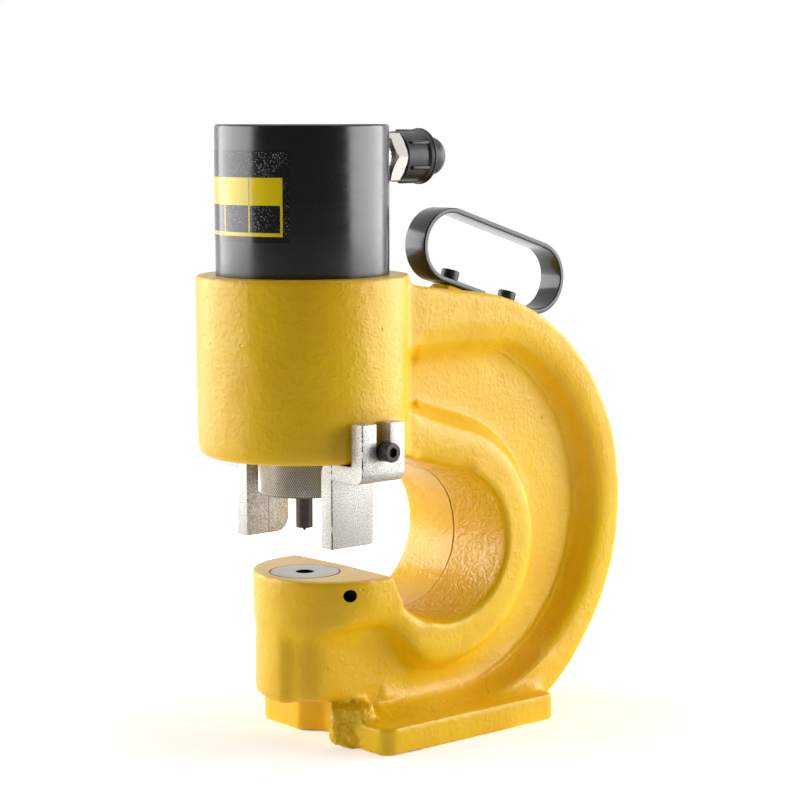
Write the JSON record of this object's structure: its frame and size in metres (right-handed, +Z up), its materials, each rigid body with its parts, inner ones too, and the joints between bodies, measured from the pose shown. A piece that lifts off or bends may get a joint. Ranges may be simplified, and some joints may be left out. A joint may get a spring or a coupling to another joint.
{
  "type": "hydraulic hole punch",
  "caption": "Portable hydraulic hole punch: cast C-frame with a ram cylinder, punch and die, adjustable stripper brackets, carry handle and capped hose coupler.",
  "frame": {"origin": "centre of the bounding box on the surface that the tool stands on", "axes": "+Z up, parallel to the punch axis; +X from the punch towards the closed back of the C; +Y to the right hand bracket, seen from the open front"},
  "size_m": [0.2615, 0.1508, 0.3396],
  "materials": {
    "yellow_paint": "thick glossy yellow paint over rough sand-cast iron",
    "black_paint": "smooth glossy black paint on steel",
    "seal_rubber": "black seal rubber",
    "sticker_film": "printed film, its cells left blank",
    "bronze": "bronze, turned",
    "spring_steel": "oil-tempered spring wire",
    "ground_steel": "ground and polished steel",
    "guide_resin": "brown fabric resin guide tape",
    "tool_steel": "hardened tool steel, dark and finely ground",
    "nickel_plate": "bright nickel plate",
    "black_oxide": "black oxide on alloy steel",
    "zinc_plate": "zinc plate on rough flame-cut bar",
    "cap_plastic": "satin black moulded plastic"
  },
  "bodies": {
    "press_body": {"c_frame": "yellow_paint", "cylinder_barrel": "black_paint", "barrel_seal_ring": "seal_rubber", "data_sticker": "sticker_film", "guide_bush": "bronze", "rod_wiper": "seal_rubber", "return_spring": "spring_steel", "die": "tool_steel", "die_set_screw": "black_oxide", "stripper_screws": "black_oxide", "stripper_washers": "black_oxide", "handle_strap": "black_paint", "handle_screws": "black_oxide", "coupler_seal_washer": "bronze", "coupler_body": "nickel_plate"},
    "ram_group": {"ram": "ground_steel", "piston_seal": "seal_rubber", "piston_guide_ring": "guide_resin", "punch": "tool_steel"},
    "nut_group": {"punch_nut": "nickel_plate"},
    "left_bracket": {"stripper_left": "zinc_plate"},
    "right_bracket": {"stripper_right": "zinc_plate"},
    "cap_group": {"dust_cap": "cap_plastic"},
    "valve_group": {"coupler_poppet": "ground_steel"}
  },
  "joints": [
    {"name": "ram_stroke", "type": "slide", "parent": "press_body", "child": "ram_group", "axis": [0, 0, -1], "range_m": [0, 0.028], "stiffness_N_per_m": 8500, "springref_m": -0.02, "deforming": ["return_spring"]},
    {"name": "punch_nut_turn", "type": "hinge", "parent": "ram_group", "child": "nut_group", "pos_m": [-0.07275, 0, 0.1505], "axis": [0, 0, 1], "continuous": true},
    {"name": "left_bracket_height", "type": "slide", "parent": "press_body", "child": "left_bracket", "axis": [0, 0, -1], "range_m": [0, 0.01]},
    {"name": "right_bracket_height", "type": "slide", "parent": "press_body", "child": "right_bracket", "axis": [0, 0, -1], "range_m": [-0.0024, 0.0076]},
    {"name": "dust_cap_pull", "type": "slide", "parent": "press_body", "child": "cap_group", "axis": [1, 0, 0], "range_m": [0, 0.024]},
    {"name": "valve_poppet_push", "type": "slide", "parent": "press_body", "child": "valve_group", "axis": [-1, 0, 0], "range_m": [0, 0.003], "stiffness_N_per_m": 800, "springref_m": -0.004}
  ]
}
